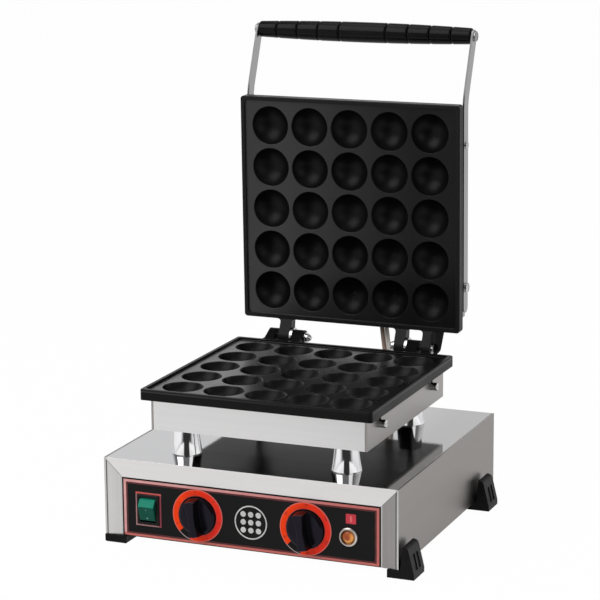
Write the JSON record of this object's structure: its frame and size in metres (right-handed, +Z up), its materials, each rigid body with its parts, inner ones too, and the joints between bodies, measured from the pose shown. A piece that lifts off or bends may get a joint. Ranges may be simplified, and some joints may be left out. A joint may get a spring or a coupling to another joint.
{
  "type": "bubble waffle maker",
  "caption": "Countertop waffle maker with a cabinet base, a square plate of round cups on flared legs, and a hinged lid of the same plate held open, with a bar handle across its free end.",
  "frame": {"origin": "on the table under the middle of the cabinet", "axes": "+Z up, +X to the right seen by the user, +Y from the user towards the hinge"},
  "size_m": [0.3335, 0.3519, 0.5014],
  "materials": {
    "arm_steel": "smooth stainless strip",
    "chrome": "polished chrome",
    "copper_feeler": "copper tube",
    "dial_orange": "printed orange-red ring",
    "element_steel": "heat-darkened steel sheath",
    "foot_rubber": "matte black moulded rubber",
    "grommet_rubber": "black rubber",
    "knob_black": "black moulded phenolic",
    "lead_sleeve": "woven heat-proof sleeves, one brown and one cream",
    "lens_amber": "amber lens",
    "mineral_wool": "pressed mineral fibre board",
    "panel_black": "black panel sheet with a satin film",
    "plate_coating": "cast aluminium with a black non-stick coating",
    "regulator_cream": "cream moulded plastic",
    "rocker_green": "translucent green plastic",
    "stainless": "fine brushed stainless sheet",
    "switch_black": "black moulded plastic",
    "zinc": "bright plated steel"
  },
  "bodies": {
    "base": {"bottom_cover": "stainless", "cabinet_shell": "stainless", "cable_gland": "switch_black", "control_panel": "panel_black", "dial_ring_left": "dial_orange", "dial_ring_right": "dial_orange", "foot_front_left": "foot_rubber", "foot_front_right": "foot_rubber", "foot_rear_left": "foot_rubber", "foot_rear_right": "foot_rubber", "foot_screws": "zinc", "hinge_nuts": "zinc", "hinge_pins": "zinc", "hinge_washers": "zinc", "lamp_bezel": "chrome", "lamp_body": "switch_black", "lamp_lens": "lens_amber", "lead_grommet_base": "grommet_rubber", "leg_front_left": "chrome", "leg_front_right": "chrome", "leg_rear_left": "chrome", "leg_rear_right": "chrome", "leg_tubes": "zinc", "lid_leads": "lead_sleeve", "lower_element": "element_steel", "lower_element_clamp": "zinc", "lower_housing": "stainless", "lower_housing_side_left": "stainless", "lower_housing_side_right": "stainless", "lower_insulation": "mineral_wool", "lower_plate": "plate_coating", "lower_side_screws": "zinc", "rear_panel": "stainless", "side_panel_left": "stainless", "side_panel_right": "stainless", "switch_housing": "switch_black", "terminal_block": "regulator_cream", "thermostat_body": "regulator_cream", "thermostat_feeler": "copper_feeler", "timer_body": "regulator_cream"},
    "lid": {"upper_plate": "plate_coating", "upper_housing": "stainless", "upper_housing_side_left": "stainless", "upper_housing_side_right": "stainless", "upper_element": "element_steel", "upper_element_clamp": "zinc", "upper_insulation": "mineral_wool", "handle_arm_left": "arm_steel", "handle_arm_right": "arm_steel", "arm_spacers": "arm_steel", "arm_screws": "zinc", "handle_grip": "knob_black", "handle_rod": "zinc", "lead_grommet_lid": "grommet_rubber"},
    "rocker": {"switch_rocker": "rocker_green"},
    "knob_left": {"knob_left": "knob_black", "spindle_left": "zinc"},
    "knob_right": {"knob_right": "knob_black", "spindle_right": "zinc"}
  },
  "joints": [
    {"name": "lid_hinge", "type": "hinge", "parent": "base", "child": "lid", "pos_m": [0, 0.1306, 0.1591], "axis": [1, 0, 0], "range_deg": [0, 89], "deforming": ["lid_leads"]},
    {"name": "switch_rocker_tilt", "type": "hinge", "parent": "base", "child": "rocker", "pos_m": [-0.1105, -0.1435, 0.0382], "axis": [-1, 0, 0], "range_deg": [0, 20]},
    {"name": "timer_knob_turn", "type": "hinge", "parent": "base", "child": "knob_left", "pos_m": [-0.0559, -0.1475, 0.038], "axis": [0, 1, 0], "range_deg": [0, 270]},
    {"name": "thermostat_knob_turn", "type": "hinge", "parent": "base", "child": "knob_right", "pos_m": [0.0608, -0.1475, 0.038], "axis": [0, 1, 0], "range_deg": [0, 300]}
  ]
}
